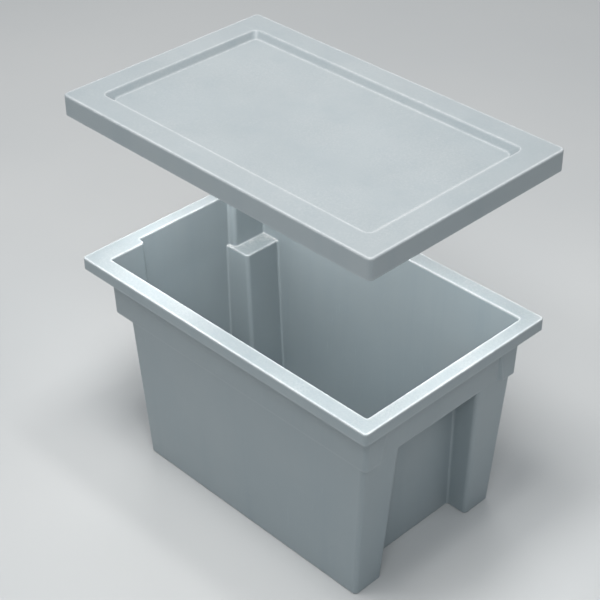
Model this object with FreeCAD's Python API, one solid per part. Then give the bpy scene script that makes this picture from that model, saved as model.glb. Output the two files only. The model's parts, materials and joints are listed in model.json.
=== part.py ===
import FreeCAD, Part
import math
import os

# A stack-and-nest tote with a lift-off lid, both one-piece plastic mouldings.
# +X is along the tote, towards the end with the tall central recess, and Z is up.
# The origin is on the ground under the middle of the tote.
# The lid is drawn lifted straight up off the tote.

# Overall sizes of the tote, in millimetres
rim_length = 508.0
rim_width = 319.0
tote_height = 302.0
wall = 2.8
floor_thickness = 3.2

# Rim flange and its down-turned lip
flange_thickness = 3.0
lip_height = 16.8
lip_wall = 2.4
rim_corner_radius = 5.0
rim_edge_radius = 1.4
rim_mouth_radius = 1.3

# Upper band, from the rim down to the step. Insets are from the rim's edge, at the lip's bottom.
step_height = 220.0
band_draft = 1.6
band_inset_end = 17.4
band_inset_side = 20.6
band_inset_corner = 28.6
band_inset_centre = 16.4
band_centre_half_width = 81.5

# Lower body, below the step
end_step = 5.5
side_step = 2.2
corner_step = 29.0
end_draft = 3.8
side_draft = 1.75
corner_draft = 4.1
centre_draft = 3.0
centre_step_half_width = 76.0
centre_side_draft = 2.1
base_edge_radius = 2.5
floor_edge_radius = 2.5
ledge_edge_radius = 1.5

# Central recess in the +X end, which leaves two corner feet
recess_depth = 36.5
recess_half_width = 71.0
recess_draft = 2.4
recess_side_draft = 2.55

# Hand-grip pocket in the band above the recess, flush at the lip and deepest at the step.
# The land is what it leaves of the band on each side.
grip_land_top = 40.9
grip_land_bottom = 31.1
grip_side_slope = 1.05

# Upright corners of the tote
upright_radius = 6.0

# Stiffening gussets hidden inside the lip. The last one stands this far from the band's corner.
gusset_thickness = 2.0
gusset_height = 11.0
gusset_from_corner = 25.4
side_gusset_count = 4

# Lid
lid_clearance = 0.6
lid_wall = 2.2
lid_plate = 2.6
lid_skirt_height = 27.6
lid_corner_radius = 6.0
lid_edge_radius = 1.6
lid_lift = 235.0
panel_clearance = 0.8
panel_run = 8.3
panel_depth = 8.0
panel_corner_radius = 9.0
panel_edge_radius = 1.2

# How far a cutting tool runs past the surface that it opens
overrun = 4.0

# How far an edge may lie from a height and still count as being at it
level_tolerance = 0.0001

# Corners of the tote's outline where the recess's sides meet the end wall, counted as
# tote_outline lists them. They stay sharp inside, so that the ledge's rounding can end there.
recess_root_corners = (1, 4)


def slope(angle):
    """Horizontal travel per millimetre of height at a draft angle in degrees."""
    return math.tan(math.radians(angle))


half_length = rim_length / 2.0
half_width = rim_width / 2.0
lip_bottom = tote_height - lip_height
ledge_height = step_height + wall


def band_places(z):
    """Distances of the band's outer faces from the tote's middle at height z."""
    draw = (lip_bottom - z) * slope(band_draft)
    return {
        "end": half_length - band_inset_end - draw,
        "side": half_width - band_inset_side - draw,
        "corner": half_length - band_inset_corner - draw,
        "centre": half_length - band_inset_centre - draw,
        "centre_half": band_centre_half_width - draw,
    }


def body_places(z):
    """Distances of the lower body's outer faces from the tote's middle at height z."""
    band = band_places(step_height)
    drop = step_height - z
    end_at_step = band["end"] - end_step
    return {
        "end": end_at_step - drop * slope(end_draft),
        "side": band["side"] - side_step - drop * slope(side_draft),
        "corner": band["corner"] - corner_step - drop * slope(corner_draft),
        "centre": band["centre"] - drop * slope(centre_draft),
        "centre_half": centre_step_half_width - drop * slope(centre_side_draft),
        "recess": end_at_step - recess_depth - drop * slope(recess_draft),
        "recess_half": recess_half_width + drop * slope(recess_side_draft),
    }


def inward(places, distance):
    """The same faces moved into the tote by a wall's thickness."""
    moved = {name: value - distance for name, value in places.items()}
    if "recess_half" in places:
        moved["recess_half"] = places["recess_half"] + distance
    return moved


def tote_outline(p):
    """Corners of the tote's plan, counterclockwise, from its +X, -Y corner."""
    plus_x = [(p["end"], -p["side"]), (p["end"], p["side"])]
    if "recess" in p:
        plus_x[1:1] = [
            (p["end"], -p["recess_half"]),
            (p["recess"], -p["recess_half"]),
            (p["recess"], p["recess_half"]),
            (p["end"], p["recess_half"]),
        ]
    minus_x = [
        (-p["corner"], p["side"]),
        (-p["corner"], p["centre_half"]),
        (-p["centre"], p["centre_half"]),
        (-p["centre"], -p["centre_half"]),
        (-p["corner"], -p["centre_half"]),
        (-p["corner"], -p["side"]),
    ]
    return plus_x + minus_x


def rectangle(half_x, half_y):
    """Corners of a centred rectangle, counterclockwise."""
    return [(half_x, -half_y), (half_x, half_y), (-half_x, half_y), (-half_x, -half_y)]


def rounded_wire(corners, z, outer_radius, inner_radius, sharp=()):
    """A closed wire at height z, with arcs of one radius on its outward corners
    and another on its inward ones. Corners whose numbers are in sharp get no arc."""
    edges = []
    count = len(corners)
    starts = []
    ends = []
    middles = []
    for i in range(count):
        here = FreeCAD.Vector(corners[i][0], corners[i][1], z)
        before = FreeCAD.Vector(corners[i - 1][0], corners[i - 1][1], z)
        after = FreeCAD.Vector(corners[(i + 1) % count][0], corners[(i + 1) % count][1], z)
        back = (before - here).normalize()
        ahead = (after - here).normalize()
        turn = (ahead.cross(back)).z
        radius = outer_radius if turn > 0 else inner_radius
        if i in sharp:
            radius = 0.0
        half_angle = back.getAngle(ahead) / 2.0
        reach = radius / math.tan(half_angle)
        bisector = (back + ahead).normalize()
        middle = here + bisector * (radius / math.sin(half_angle) - radius)
        starts.append(here + back * reach)
        ends.append(here + ahead * reach)
        middles.append(middle)
    for i in range(count):
        if i not in sharp:
            edges.append(Part.Arc(starts[i], middles[i], ends[i]).toShape())
        edges.append(Part.LineSegment(ends[i], starts[(i + 1) % count]).toShape())
    return Part.Wire(edges)


def tapered_solid(low_corners, low_z, high_corners, high_z, outer_radius, inner_radius, sharp=()):
    """A solid between two plans at two heights, with straight walls between them."""
    low = rounded_wire(low_corners, low_z, outer_radius, inner_radius, sharp)
    high = rounded_wire(high_corners, high_z, outer_radius, inner_radius, sharp)
    return Part.makeLoft([low, high], True, True)


def edges_at(solid, z, keep=None):
    """The edges of a solid that lie flat at height z."""
    found = []
    for edge in solid.Edges:
        box = edge.BoundBox
        flat = abs(box.ZMin - z) < level_tolerance and abs(box.ZMax - z) < level_tolerance
        if flat and (keep is None or keep(edge)):
            found.append(edge)
    return found


def grip_cutter(offset, deep_z):
    """The wedge that the hand-grip pocket takes from the band, grown by an offset.
    It meets the lower body's end face at height deep_z."""
    deep = body_places(deep_z)["end"] - offset
    flush = band_places(lip_bottom)["end"] - offset
    half_at_step = band_places(step_height)["side"] - grip_land_bottom
    half_at_lip = band_places(lip_bottom)["side"] - grip_land_top
    lean = (flush - deep) / (lip_bottom - deep_z)
    spread = (half_at_lip - half_at_step) / (lip_bottom - step_height)
    outside = half_length
    wires = []
    for z in (deep_z - overrun, tote_height + overrun):
        face = deep + (z - deep_z) * lean
        half = half_at_step + (z - step_height) * spread + offset
        flare = half + (outside - face) * grip_side_slope
        corners = [(face, -half), (outside, -flare), (outside, flare), (face, half)]
        points = [FreeCAD.Vector(x, y, z) for x, y in corners]
        wires.append(Part.makePolygon(points + points[:1]))
    return Part.makeLoft(wires, True, True)


def tote_outside():
    """The filled outer shape of the tote, without its rim."""
    tight = upright_radius - wall
    lower = tapered_solid(
        tote_outline(body_places(0.0)), 0.0,
        tote_outline(body_places(step_height)), step_height,
        upright_radius, tight,
    )
    lower = lower.makeFillet(base_edge_radius, edges_at(lower, 0.0))
    band = tapered_solid(
        tote_outline(band_places(step_height)), step_height,
        tote_outline(band_places(tote_height)), tote_height,
        upright_radius, tight,
    )
    return lower.fuse(band.cut(grip_cutter(0.0, step_height)))


def tote_cavity():
    """The space inside the tote. Its corner and recess blocks end in flat ledges."""
    tight = upright_radius - wall
    lower_low = inward(body_places(floor_thickness), wall)
    lower_high = inward(body_places(ledge_height), wall)
    lower = tapered_solid(
        tote_outline(lower_low), floor_thickness,
        tote_outline(lower_high), ledge_height,
        tight, upright_radius, recess_root_corners,
    )
    floor_radius = min(floor_edge_radius, 0.9 * tight)
    lower = lower.makeFillet(floor_radius, edges_at(lower, floor_thickness))
    upper_low = inward(band_places(ledge_height), wall)
    upper_low["side"] = lower_high["side"]
    upper_low["centre"] = lower_high["centre"]
    upper_high = inward(band_places(tote_height), wall)
    upper = tapered_solid(
        tote_outline(upper_low), ledge_height,
        tote_outline(upper_high), tote_height,
        tight, upright_radius,
    )
    return lower.fuse(upper.cut(grip_cutter(wall, ledge_height)))


def rim():
    """The flat flange round the mouth, its down-turned lip and the gussets inside it."""
    outline = rectangle(half_length, half_width)
    outside = Part.Face(rounded_wire(outline, lip_bottom, rim_corner_radius, rim_corner_radius))
    block = outside.extrude(FreeCAD.Vector(0, 0, lip_height))
    block = block.makeFillet(rim_edge_radius, edges_at(block, tote_height))
    inner_outline = rectangle(half_length - lip_wall, half_width - lip_wall)
    inner_radius = rim_corner_radius - lip_wall
    hollow = Part.Face(rounded_wire(inner_outline, lip_bottom, inner_radius, inner_radius))
    ring = block.cut(hollow.extrude(FreeCAD.Vector(0, 0, lip_height - flange_thickness)))
    gussets = side_gussets() + end_gussets()
    return ring.fuse(gussets)


def gusset_box(x, y, along_x, length):
    """One gusset, centred at x, y, under the flange."""
    size_x = length if along_x else gusset_thickness
    size_y = gusset_thickness if along_x else length
    low = tote_height - flange_thickness - gusset_height
    corner = FreeCAD.Vector(x - size_x / 2.0, y - size_y / 2.0, low)
    return Part.makeBox(size_x, size_y, gusset_height + flange_thickness / 2.0, corner)


def side_gussets():
    """Gussets that cross the lip's channel along both long sides."""
    band = band_places(lip_bottom)
    inside = band["side"] - wall / 2.0
    outside = half_width - lip_wall / 2.0
    last = band["corner"] - gusset_from_corner
    boxes = []
    for i in range(side_gusset_count):
        x = last * (2.0 * i / (side_gusset_count - 1) - 1.0)
        for side in (-1, 1):
            boxes.append(gusset_box(x, side * (inside + outside) / 2.0, False, outside - inside))
    return boxes


def end_gussets():
    """One gusset near each corner across the lip's channel at both ends, clear of the fingers."""
    outside = half_length - lip_wall / 2.0
    band = band_places(lip_bottom)
    y = band["side"] - gusset_from_corner
    boxes = []
    for end, face in ((1, "end"), (-1, "corner")):
        inside = band[face] - wall / 2.0
        for side in (-1, 1):
            x = end * (inside + outside) / 2.0
            boxes.append(gusset_box(x, side * y, True, outside - inside))
    return boxes


def ledge_fronts(tote):
    """The front edges of the flat ledges inside the tote, over its corner notches and recess."""
    lower = inward(body_places(ledge_height), wall)
    upper = inward(band_places(ledge_height), wall)
    reach = upright_radius / 2.0
    own = rounded_wire(tote_outline(lower), ledge_height, upright_radius, upright_radius)
    other = rounded_wire(tote_outline(upper), ledge_height, upright_radius, upright_radius)

    def is_front(edge):
        middle = edge.valueAt((edge.FirstParameter + edge.LastParameter) / 2.0)
        point = Part.Vertex(middle)
        on_own = point.distToShape(own)[0] < reach
        on_other = point.distToShape(other)[0] < reach
        return on_own and not on_other and middle.x < lower["end"] - reach

    return edges_at(tote, ledge_height, is_front)


def make_tote():
    """The tote, moulded in one piece."""
    filled = tote_outside().fuse(rim()).removeSplitter()
    tote = filled.cut(tote_cavity()).removeSplitter()

    mouth = half_length - lip_wall

    def in_mouth(edge):
        box = edge.BoundBox
        return box.XMax < mouth and box.XMin > -mouth

    tote = tote.makeFillet(rim_mouth_radius, edges_at(tote, tote_height, in_mouth))
    return tote.makeFillet(ledge_edge_radius, ledge_fronts(tote))


def make_lid():
    """The lid, moulded in one piece: a skirt, a flat border and a sunken panel."""
    half_x = half_length + lid_clearance + lid_wall
    half_y = half_width + lid_clearance + lid_wall
    top = tote_height + lid_plate + lid_lift
    bottom = top - lid_skirt_height

    outline = rectangle(half_x, half_y)
    base = Part.Face(rounded_wire(outline, bottom, lid_corner_radius, lid_corner_radius))
    block = base.extrude(FreeCAD.Vector(0, 0, lid_skirt_height))
    block = block.makeFillet(lid_edge_radius, edges_at(block, top))

    inside_radius = lid_corner_radius - lid_wall
    inside = rectangle(half_x - lid_wall, half_y - lid_wall)
    hollow = Part.Face(rounded_wire(inside, bottom, inside_radius, inside_radius))
    hollow = hollow.extrude(FreeCAD.Vector(0, 0, lid_skirt_height - lid_plate))
    hollow = hollow.cut(panel_well(half_x, half_y, top, lid_plate))
    lid = block.cut(hollow)
    lid = lid.cut(panel_well(half_x, half_y, top, 0.0))
    reach = half_x - panel_border() + panel_edge_radius

    def round_well(edge):
        box = edge.BoundBox
        return box.XMax < reach and box.XMin > -reach

    return lid.makeFillet(panel_edge_radius, edges_at(lid, top, round_well))


def panel_border():
    """How wide the lid's flat border is. The sunken panel has to drop inside the tote's mouth,
    which is nearest to the lid's edge at the inset corners of the -X end."""
    mouth = band_places(tote_height)["corner"] - wall + rim_mouth_radius
    lid_half = half_length + lid_clearance + lid_wall
    lean = panel_run / panel_depth
    return lid_half - mouth + panel_clearance - lid_plate * lean + panel_wall_across(lid_plate)


def panel_wall_across(thickness):
    """The horizontal thickness of the well's leaning wall."""
    return thickness * math.hypot(panel_run, panel_depth) / panel_depth


def panel_well(half_x, half_y, top, thickness):
    """The lid's sunken well, or with a thickness, the same well with its walls and floor."""
    depth = panel_depth + thickness
    lean = panel_run / panel_depth
    floor_inset = panel_border() + depth * lean - panel_wall_across(thickness)
    top_inset = floor_inset - (depth + overrun) * lean
    floor_corners = rectangle(half_x - floor_inset, half_y - floor_inset)
    top_corners = rectangle(half_x - top_inset, half_y - top_inset)
    radius = panel_corner_radius + thickness
    well = tapered_solid(floor_corners, top - depth, top_corners, top + overrun, radius, radius)
    return well.makeFillet(panel_edge_radius + thickness, edges_at(well, top - depth))


os.makedirs("parts", exist_ok=True)
pieces = {"tote": make_tote(), "lid": make_lid()}
for name, shape in pieces.items():
    box = shape.optimalBoundingBox(True, False)
    print(name, "solids", len(shape.Solids), "valid", shape.isValid(), "faces", len(shape.Faces))
    print("  volume in cm3", round(shape.Volume / 1000.0, 1))
    print("  size in mm", round(box.XLength, 2), round(box.YLength, 2), round(box.ZLength, 2))
    shape.exportStep("parts/" + name + ".step")
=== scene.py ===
# %% [markdown]
# # A stack-and-nest tote with a lift-off lid
# The real object is two mouldings in grey polyethylene: a deep tapered tote, and a shallow lid
# that drops over its rim. Both come out of a steel mould in one piece, so there is nothing to
# fasten and nothing to assemble. The lesson loads their exact shapes, gives them a moulded
# plastic that bears a close look, and lights them on a pale floor.
# All lengths are in metres. +X points to the end with the tall recess, and Z is up.

# %% Load the two mouldings
import json
import math

import bmesh
import bpy
from mathutils import Matrix, Vector

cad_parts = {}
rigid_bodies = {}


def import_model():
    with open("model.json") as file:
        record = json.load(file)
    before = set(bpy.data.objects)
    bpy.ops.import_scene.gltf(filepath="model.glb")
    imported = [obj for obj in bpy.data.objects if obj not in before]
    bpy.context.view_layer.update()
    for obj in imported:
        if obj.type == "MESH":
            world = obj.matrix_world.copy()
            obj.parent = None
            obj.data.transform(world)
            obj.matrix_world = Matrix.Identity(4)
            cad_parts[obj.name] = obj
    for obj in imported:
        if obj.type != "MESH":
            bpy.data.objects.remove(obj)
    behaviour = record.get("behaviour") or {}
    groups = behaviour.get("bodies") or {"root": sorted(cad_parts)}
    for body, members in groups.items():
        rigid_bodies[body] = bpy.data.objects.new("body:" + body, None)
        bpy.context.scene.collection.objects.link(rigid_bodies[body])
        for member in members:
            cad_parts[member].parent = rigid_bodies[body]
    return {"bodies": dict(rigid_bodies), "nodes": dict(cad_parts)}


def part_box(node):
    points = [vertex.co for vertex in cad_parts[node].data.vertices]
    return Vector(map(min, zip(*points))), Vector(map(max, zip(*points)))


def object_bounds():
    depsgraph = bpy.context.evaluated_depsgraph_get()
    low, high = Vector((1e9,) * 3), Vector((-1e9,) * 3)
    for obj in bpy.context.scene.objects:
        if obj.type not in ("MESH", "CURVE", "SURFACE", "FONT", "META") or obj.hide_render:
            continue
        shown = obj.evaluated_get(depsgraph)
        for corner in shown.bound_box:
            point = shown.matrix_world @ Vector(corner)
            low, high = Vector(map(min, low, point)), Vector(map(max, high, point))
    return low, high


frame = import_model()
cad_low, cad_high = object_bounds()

# %% Read the places that the rest of the lesson starts from
tote_low, tote_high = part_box("tote")
lid_low, lid_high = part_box("lid")
middle = (Vector(cad_low) + Vector(cad_high)) / 2.0
rim_height = tote_high.z
lid_gap = lid_low.z - rim_height
print("tote", [round(v, 4) for v in tote_high - tote_low], "rim at", round(rim_height, 4))
print("lid", [round(v, 4) for v in lid_high - lid_low], "held above the rim by", round(lid_gap, 4))

# %% [markdown]
# ## Small helpers for shader nodes
# A finish is a graph of nodes. Written out in full, a graph hides what it does, so a few helpers
# come first. They add a node and fill its sockets, do a sum, map a range, blend two colours, start
# a node group with named sockets, make noise, and stretch a place. Each value that goes into a
# socket is either a number or another socket.

# %% Helpers that add nodes


def add(tree, kind, values=None, **settings):
    """Adds a node. values fills inputs by name or number, and settings sets its properties."""
    node = tree.nodes.new("ShaderNode" + kind)
    for name, value in settings.items():
        setattr(node, name, value)
    for name, value in (values or {}).items():
        if isinstance(value, bpy.types.NodeSocket):
            tree.links.new(value, node.inputs[name])
        else:
            node.inputs[name].default_value = value
    return node


def sum_of(tree, operation, first, second=0.0, third=0.0, clamp=False):
    """One arithmetic step, as the socket that holds its result."""
    values = {0: first, 1: second, 2: third}
    return add(tree, "Math", values, operation=operation, use_clamp=clamp).outputs[0]


def ramp(tree, value, low, high, out_low=0.0, out_high=1.0):
    """Maps low..high to out_low..out_high along a smooth curve, and holds it outside."""
    values = {"Value": value, "From Min": low, "From Max": high}
    values.update({"To Min": out_low, "To Max": out_high})
    return add(tree, "MapRange", values, interpolation_type="SMOOTHSTEP").outputs["Result"]


def mix_colour(tree, amount, first, second):
    """Blends two colours and returns the resulting socket."""
    node = tree.nodes.new("ShaderNodeMix")
    node.data_type = "RGBA"
    sockets = [s for s in node.inputs if s.enabled]
    for socket, value in zip(sockets, (amount, first, second)):
        if isinstance(value, bpy.types.NodeSocket):
            tree.links.new(value, socket)
        else:
            socket.default_value = value
    return next(s for s in node.outputs if s.enabled)


def start_group(name, inputs, outputs):
    """A node group with named sockets. Returns its tree, its inputs and its output node."""
    tree = bpy.data.node_groups.new(name, "ShaderNodeTree")
    for label, kind, value in inputs:
        socket = tree.interface.new_socket(label, in_out="INPUT", socket_type="NodeSocket" + kind)
        if value is not None:
            socket.default_value = value
    for label, kind in outputs:
        tree.interface.new_socket(label, in_out="OUTPUT", socket_type="NodeSocket" + kind)
    entry = tree.nodes.new("NodeGroupInput")
    leave = tree.nodes.new("NodeGroupOutput")
    return tree, entry.outputs, leave


def noise(tree, place, scale, detail=2.0, roughness=0.5):
    """Noise between 0 and 1. The scale is in waves per metre."""
    values = {"Vector": place, "Scale": scale, "Detail": detail, "Roughness": roughness}
    return add(tree, "TexNoise", values).outputs[0]


def stretched(tree, place, stretch):
    """The same place with its axes stretched, for patterns that run one way."""
    return add(tree, "Mapping", {"Vector": place, "Scale": stretch}).outputs[0]


print("helpers ready")

# %% [markdown]
# ## The moulded grain
# A tote's mould is etched, so the plastic has a fine, pebbled grain that hides scratches. The wall
# is also never quite flat: it shrinks as it cools, and a reflection wanders over it. Both are
# heights. The grain could be modelled, but it is a tenth of a millimetre deep at most, so bump is
# the right tool, and the wall's slow wander goes into the same height.

# %% Grain and slow shrinkage as one height
grain_waves = 780.0
pebble_waves = 520.0
shrink_waves = 7.0
grain_depth = 0.00005
shrink_depth = 0.00065


def make_grain_group():
    """A group that turns a place into a height in metres."""
    tree, given, leave = start_group("Moulded grain", [("Place", "Vector", None)], [("Height", "Float")])
    place = given["Place"]
    pebbles = add(
        tree, "TexVoronoi", {"Vector": place, "Scale": pebble_waves, "Smoothness": 0.6},
        feature="SMOOTH_F1",
    ).outputs["Distance"]
    grit = noise(tree, place, grain_waves, 3.0, 0.6)
    grain = sum_of(tree, "MULTIPLY", sum_of(tree, "ADD", pebbles, grit), grain_depth)
    shrink = noise(tree, place, shrink_waves, 1.0, 0.3)
    height = sum_of(tree, "MULTIPLY_ADD", shrink, shrink_depth, grain)
    tree.links.new(height, leave.inputs["Height"])
    return tree


grain_group = make_grain_group()
print("grain of", round(1000.0 / grain_waves, 2), "mm, at most", grain_depth * 2000.0, "mm deep")

# %% [markdown]
# ## Colour that drifts
# Grey polyethylene is coloured by a pigment stirred into the melt. It is never stirred perfectly:
# broad clouds are a shade lighter or cooler, and faint flow lines run up the walls, the way the
# melt ran. A single flat grey is what gives a computer model away.

# %% Clouds and flow lines
cloud_waves = 5.5
cloud_share = 0.55
flow_stretch = (34.0, 34.0, 2.2)
flow_share = 0.45


def make_drift_group():
    """A group that shades one colour towards a second by clouds and flow lines."""
    tree, given, leave = start_group(
        "Pigment drift",
        [("Place", "Vector", None), ("Colour", "Color", None), ("Second", "Color", None)],
        [("Colour", "Color")],
    )
    clouds = ramp(tree, noise(tree, given["Place"], cloud_waves, 4.0, 0.55), 0.32, 0.68)
    lines = noise(tree, stretched(tree, given["Place"], flow_stretch), 1.0, 3.0, 0.6)
    lines = ramp(tree, lines, 0.45, 0.75, 0.0, flow_share)
    amount = sum_of(tree, "MULTIPLY_ADD", clouds, cloud_share, lines, clamp=True)
    tree.links.new(mix_colour(tree, amount, given["Colour"], given["Second"]), leave.inputs["Colour"])
    return tree


drift_group = make_drift_group()
print("clouds about", round(100.0 / cloud_waves), "cm across")

# %% [markdown]
# ## Edges with a painted highlight
# The rim and the lid's top edges are painted paler: a painted highlight, where a rounded edge
# catches the light, mixed with the paler wear that rubbing gives an edge. An edge could be found
# from the mesh's own points, but these meshes have long triangles with points only at their
# corners. The Bevel node finds it instead by feeling round each point: where the rounded normal
# leans away from the real one, an edge is near. The painted highlight is strongest on edges whose
# rounded normal points partly upwards, towards the lamps above.
# How far two normals lean apart is their dot product: 1 when they agree, less as they part.

# %% A mask for the painted edge highlight, broken up by noise
edge_reach = 0.0048
edge_break_waves = 48.0
upright_share = 0.12
no_highlight_lean = 0.998
full_highlight_lean = 0.94
upright_rise = 0.15
full_highlight_rise = 0.60
least_highlight = 0.60


def make_edge_highlight_group():
    """A group whose output is 1 on an edge with a painted highlight and 0 on a flat wall."""
    tree, given, leave = start_group(
        "Painted edge highlight", [("Place", "Vector", None), ("Reach", "Float", edge_reach)], [("Edge", "Float")]
    )
    rounded = add(tree, "Bevel", {"Radius": given["Reach"]}, samples=6).outputs["Normal"]
    real = tree.nodes.new("ShaderNodeNewGeometry").outputs["True Normal"]
    leaning = add(tree, "VectorMath", {0: rounded, 1: real}, operation="DOT_PRODUCT").outputs["Value"]
    edge = ramp(tree, leaning, no_highlight_lean, full_highlight_lean)
    rise = add(tree, "SeparateXYZ", {0: rounded}).outputs["Z"]
    # Painted highlight: edges that face up, towards the lamps above, get all of it, and upright edges
    # keep a little.
    facing_up = ramp(tree, rise, upright_rise, full_highlight_rise, upright_share, 1.0)
    breaks = noise(tree, given["Place"], edge_break_waves, 4.0, 0.65)
    patches = ramp(tree, breaks, 0.28, 0.60, least_highlight, 1.0)
    highlight = sum_of(tree, "MULTIPLY", sum_of(tree, "MULTIPLY", edge, facing_up), patches)
    tree.links.new(highlight, leave.inputs["Edge"])
    return tree


edge_highlight_group = make_edge_highlight_group()
# The painted edge highlight reaches this far from an edge.
print("edges rub within", edge_reach * 1000.0, "mm")

# %% [markdown]
# ## Scuffs from nesting
# Empty totes are pushed down into each other, and that draws pale upright scratches on their
# walls. The lid is wiped and slid about, so its scratches lie flat and slanting. Both are a noise
# stretched until it turns into lines: only the stretch and its turn differ.

# %% Fine lines along a chosen direction
scuff_waves = 1.0
scuff_patch_waves = 11.0


def make_scuff_group():
    """A group that puts out thin lines, stretched as it is told."""
    tree, given, leave = start_group(
        "Scuffs",
        [
            ("Place", "Vector", None),
            ("Stretch", "Vector", (1.0, 1.0, 1.0)),
            ("Turn", "Vector", (0.0, 0.0, 0.0)),
        ],
        [("Scuff", "Float")],
    )
    mapping = {"Vector": given["Place"], "Scale": given["Stretch"], "Rotation": given["Turn"]}
    place = add(tree, "Mapping", mapping).outputs[0]
    lines = ramp(tree, noise(tree, place, scuff_waves, 2.0, 0.5), 0.66, 0.74)
    patches = ramp(tree, noise(tree, given["Place"], scuff_patch_waves, 3.0, 0.6), 0.50, 0.66)
    tree.links.new(sum_of(tree, "MULTIPLY", lines, patches), leave.inputs["Scuff"])
    return tree


scuff_group = make_scuff_group()
print("scuffs gather in patches about", round(100.0 / scuff_patch_waves), "cm across")

# %% [markdown]
# ## Dust that has settled
# Dust lies on what faces up, and gathers where a cloth can't reach: in the lid's sunken corners,
# on the inner ledges and round the floor. The mask is the upward part of the normal, times the
# amount that the place is shut in, which the Ambient Occlusion node measures.

# %% Dust on upward faces and in corners
dust_reach = 0.022
speck_waves = 420.0
film_waves = 16.0
corner_share = 0.9


def make_dust_group():
    """A group whose output is the amount of dust."""
    tree, given, leave = start_group("Settled dust", [("Place", "Vector", None)], [("Dust", "Float")])
    normal = tree.nodes.new("ShaderNodeNewGeometry").outputs["True Normal"]
    up = ramp(tree, add(tree, "SeparateXYZ", {0: normal}).outputs["Z"], 0.25, 0.95)
    open_share = add(tree, "AmbientOcclusion", {"Distance": dust_reach}, samples=6).outputs["AO"]
    corner = ramp(tree, open_share, 0.95, 0.45)
    specks = ramp(tree, noise(tree, given["Place"], speck_waves, 3.0, 0.7), 0.35, 0.75)
    film = ramp(tree, noise(tree, given["Place"], film_waves, 4.0, 0.6), 0.35, 0.75, 0.10, 0.35)
    lying = sum_of(tree, "MULTIPLY_ADD", corner, corner_share, film)
    dust = sum_of(tree, "MULTIPLY", sum_of(tree, "MULTIPLY", up, lying), specks, clamp=True)
    tree.links.new(dust, leave.inputs["Dust"])
    return tree


dust_group = make_dust_group()
print("dust gathers within", dust_reach * 1000.0, "mm of a corner")

# %% [markdown]
# ## The plastic itself
# One recipe serves both mouldings, because both are the same polyethylene. Only the shade, the
# dust and the way the scuffs run differ: the open tote collects more dust than the lid, which is
# wiped. The Principled shader stays in the material, and the groups feed its colour, roughness and
# bump. Polyethylene is waxy: it has a broad, soft gloss and no metal in it.

# %% A recipe for moulded polyethylene
# The pale grey of the painted edge highlight, which also stands for some rubbed wear.
highlight_grey = (0.72, 0.74, 0.75, 1.0)
dust_grey = (0.70, 0.69, 0.67, 1.0)
highlight_share = 0.95
scuffed_share = 0.22
scuff_lightening = 1.6
gloss_waves = 9.0
glossy_roughness = 0.33
dull_roughness = 0.40
edge_polish = -0.10
dust_dulling = 0.30
bump_strength = 0.75
polyethylene_ior = 1.51


def use(tree, group, values):
    """Places a group in a material and fills its sockets."""
    node = tree.nodes.new("ShaderNodeGroup")
    node.node_tree = group
    for name, value in values.items():
        if isinstance(value, bpy.types.NodeSocket):
            tree.links.new(value, node.inputs[name])
        else:
            node.inputs[name].default_value = value
    return node.outputs


def shade(colour, factor):
    """A colour made lighter or darker, with its alpha left at 1."""
    return tuple(min(1.0, v * factor) for v in colour[:3]) + (1.0,)


def moulded_plastic(name, colour, second, dust_share, scuff_stretch, scuff_turn):
    """A material for one moulding. dust_share is how much of the colour thick dust covers."""
    material = bpy.data.materials.new(name)
    material.use_nodes = True
    tree = material.node_tree
    shader = tree.nodes["Principled BSDF"]
    place = tree.nodes.new("ShaderNodeTexCoord").outputs["Object"]

    tone = use(tree, drift_group, {"Place": place, "Colour": colour, "Second": second})["Colour"]
    edge = use(tree, edge_highlight_group, {"Place": place, "Reach": edge_reach})["Edge"]
    scuff_values = {"Place": place, "Stretch": scuff_stretch, "Turn": scuff_turn}
    scuff = use(tree, scuff_group, scuff_values)["Scuff"]
    dust = use(tree, dust_group, {"Place": place})["Dust"]
    height = use(tree, grain_group, {"Place": place})["Height"]

    # Painted highlight: the edges are blended towards a pale grey, with some rubbed wear mixed in.
    highlighted = mix_colour(tree, sum_of(tree, "MULTIPLY", edge, highlight_share), tone, highlight_grey)
    scratched = shade(colour, scuff_lightening)
    scuffed = mix_colour(tree, sum_of(tree, "MULTIPLY", scuff, scuffed_share), highlighted, scratched)
    dusty = mix_colour(tree, sum_of(tree, "MULTIPLY", dust, dust_share), scuffed, dust_grey)
    tree.links.new(dusty, shader.inputs["Base Color"])

    gloss = noise(tree, place, gloss_waves, 3.0, 0.6)
    roughness = ramp(tree, gloss, 0.3, 0.7, glossy_roughness, dull_roughness)
    roughness = sum_of(tree, "MULTIPLY_ADD", edge, edge_polish, roughness)
    roughness = sum_of(tree, "MULTIPLY_ADD", dust, dust_dulling, roughness, clamp=True)
    tree.links.new(roughness, shader.inputs["Roughness"])

    bump = add(tree, "Bump", {"Height": height, "Strength": bump_strength, "Distance": 1.0})
    tree.links.new(bump.outputs["Normal"], shader.inputs["Normal"])
    shader.inputs["IOR"].default_value = polyethylene_ior
    return material


# %% The two shades and where they go
tote_grey = (0.285, 0.330, 0.348, 1.0)
tote_cool = (0.255, 0.306, 0.330, 1.0)
lid_grey = (0.310, 0.350, 0.366, 1.0)
lid_cool = (0.280, 0.326, 0.348, 1.0)
upright_lines = (420.0, 420.0, 5.0)
wiping_lines = (9.0, 460.0, 60.0)
not_turned = (0.0, 0.0, 0.0)
wiping_turn = (0.0, 0.0, 0.62)
tote_dust = 0.85
lid_dust = 0.48
tote_plastic = moulded_plastic("moulded_tote", tote_grey, tote_cool, tote_dust, upright_lines, not_turned)
lid_plastic = moulded_plastic("moulded_lid", lid_grey, lid_cool, lid_dust, wiping_lines, wiping_turn)

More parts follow.
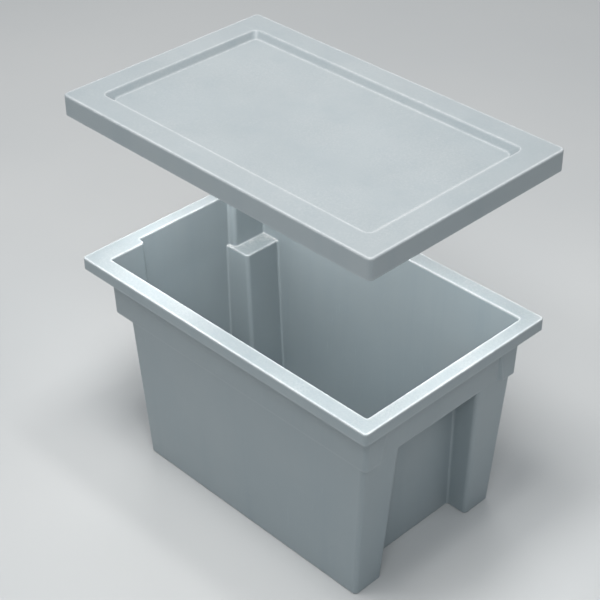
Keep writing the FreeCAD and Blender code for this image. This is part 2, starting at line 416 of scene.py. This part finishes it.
for node_name, material in (("tote", tote_plastic), ("lid", lid_plastic)):
    node = frame["nodes"][node_name]
    slots = node.material_slots
    for slot in slots:
        slot.material = material
    print(node_name, "has", len(slots), "slot(s), now", slots[0].material.name)

# %% [markdown]
# ## The floor
# The tote stands on a plain pale floor. A grid is enough, but a perfectly even floor looks like
# an empty page, so its tone changes slowly.

# %% A pale floor
floor_size = 14.0
floor_waves = 1.3
floor_roughness = 0.85
floor_grey = (0.50, 0.515, 0.52, 1.0)
floor_pale = (0.53, 0.54, 0.54, 1.0)
floor_mesh = bpy.data.meshes.new("floor")
shape = bmesh.new()
bmesh.ops.create_grid(shape, x_segments=8, y_segments=8, size=floor_size / 2.0)
shape.to_mesh(floor_mesh)
shape.free()
floor = bpy.data.objects.new("floor", floor_mesh)
bpy.context.scene.collection.objects.link(floor)

floor_finish = bpy.data.materials.new("pale_floor")
floor_finish.use_nodes = True
floor_tree = floor_finish.node_tree
floor_place = floor_tree.nodes.new("ShaderNodeTexCoord").outputs["Object"]
floor_tone = ramp(floor_tree, noise(floor_tree, floor_place, floor_waves, 4.0), 0.3, 0.7)
floor_colour = mix_colour(floor_tree, floor_tone, floor_grey, floor_pale)
floor_shader = floor_tree.nodes["Principled BSDF"]
floor_tree.links.new(floor_colour, floor_shader.inputs["Base Color"])
floor_shader.inputs["Roughness"].default_value = floor_roughness
floor_mesh.materials.append(floor_finish)
print("floor", floor_size, "m wide")

# %% [markdown]
# ## Light
# Product light: soft boxes, so that each face has its own brightness and the shadows stay soft.
# The top faces are brightest, the long side is a middle grey, and the end with the recess is the
# darkest. The lid would leave the tote's inside dark, so two small lamps hang under it, as they
# might be taped there in a studio. One lights the end with the recess, and one shines from the
# corner across the inside, so the long wall is lighter than the end wall. Both are children of
# the lid's body, so they go where the lid goes, and the camera doesn't see them. They sit inside
# the tote's mouth when the lid is down, or they would shine out through a wall.

# %% Softboxes placed by azimuth and elevation


def direction(azimuth, elevation):
    """Unit vector towards an azimuth and elevation in degrees. Azimuth 0 is from -Y."""
    turn, rise = math.radians(azimuth), math.radians(elevation)
    return Vector((math.sin(turn) * math.cos(rise), -math.cos(turn) * math.cos(rise), math.sin(rise)))


def light(name, width, depth, power, colour):
    """A rectangular area light, which shines down its own -Z."""
    lamp = bpy.data.lights.new(name, "AREA")
    lamp.shape = "RECTANGLE"
    lamp.size = width
    lamp.size_y = depth
    lamp.energy = power
    lamp.color = colour
    holder = bpy.data.objects.new(name, lamp)
    bpy.context.scene.collection.objects.link(holder)
    return holder


def softbox(name, azimuth, elevation, distance, size, power, colour):
    """A square light that faces the middle of the object."""
    holder = light(name, size, size, power, colour)
    towards = direction(azimuth, elevation)
    holder.location = middle + towards * distance
    holder.rotation_euler = towards.to_track_quat("Z", "Y").to_euler()


# Each row: name, azimuth, elevation, distance, size, power, colour
softboxes = (
    ("key", 20.0, 80.0, 3.0, 0.9, 56.0, (1.0, 0.985, 0.97)),
    ("front", 46.0, 45.0, 3.0, 1.4, 31.0, (0.96, 0.985, 1.0)),
    ("left", -47.0, 36.0, 3.0, 1.5, 19.0, (1.0, 1.0, 1.0)),
    ("right", 136.0, 37.0, 3.0, 1.5, 6.0, (1.0, 1.0, 1.0)),
    ("back", 225.0, 40.0, 3.0, 1.5, 18.0, (1.0, 0.99, 0.98)),
)
for row in softboxes:
    softbox(*row)
print(len(softboxes), "softboxes")

# %% Two lamps that hang under the lid and move with it
lamp_colour = (1.0, 0.99, 0.98)
lamp_from_end = 0.069
lamp_from_side = 0.0545
end_lamp_rise = 0.012
corner_lamp_drop = 0.020


def lamp_under_lid(name, width, depth, power, place, shining):
    """A small light that rides on the lid's body and shines along a direction."""
    lamp = light(name, width, depth, power, lamp_colour)
    lamp.location = place
    lamp.rotation_euler = (-shining).to_track_quat("Z", "Y").to_euler()
    lamp.parent = frame["bodies"]["lid"]
    lamp.visible_camera = False


end_lamp_place = Vector((tote_high.x - lamp_from_end, 0.0, lid_low.z + end_lamp_rise))
straight_down = Vector((0.0, 0.0, -1.0))
lamp_under_lid("lamp_over_end", 0.08, 0.25, 0.95, end_lamp_place, straight_down)
corner_lamp_place = Vector(
    (tote_low.x + lamp_from_end, tote_low.y + lamp_from_side, lid_low.z - corner_lamp_drop)
)
across_the_inside = Vector((0.35, 1.0, -0.75))
lamp_under_lid("lamp_at_corner", 0.06, 0.04, 1.18, corner_lamp_place, across_the_inside)
print("two lamps ride on the lid")

# %% A pale world, and colours shown as they are
world_colour = (0.86, 0.93, 1.0, 1.0)
world_strength = 0.22
world = bpy.data.worlds.new("studio")
world.use_nodes = True
background = world.node_tree.nodes["Background"]
background.inputs["Color"].default_value = world_colour
background.inputs["Strength"].default_value = world_strength
bpy.context.scene.world = world
bpy.context.scene.view_settings.view_transform = "Standard"
print("world at", world_strength)

# %% [markdown]
# ## The camera
# A long lens from well above, looking at the corner between the long side and the end with the
# recess. The distance, lens and aim are set so that perspective narrows the tote as it does on
# the real one, and the frame holds the tote and the lid above it.

# %% A long lens looking down at the near corner
view_azimuth = 45.63
view_elevation = 35.17
view_roll = 0.31
view_distance = 1.969
aim = Vector((0.001, -0.013, 0.288))
focal_length = 93.43
sensor_width = 36.0
far_limit = 60.0

lens = bpy.data.cameras.new("camera")
lens.lens = focal_length
lens.sensor_width = sensor_width
lens.clip_end = far_limit
camera = bpy.data.objects.new("camera", lens)
towards_camera = direction(view_azimuth, view_elevation)
turned = towards_camera.to_track_quat("Z", "Y").to_matrix().to_4x4()
rolled = turned @ Matrix.Rotation(math.radians(-view_roll), 4, "Z")
camera.matrix_world = Matrix.Translation(aim + towards_camera * view_distance) @ rolled
bpy.context.scene.collection.objects.link(camera)
bpy.context.scene.camera = camera
print("camera at", [round(v, 3) for v in camera.location])
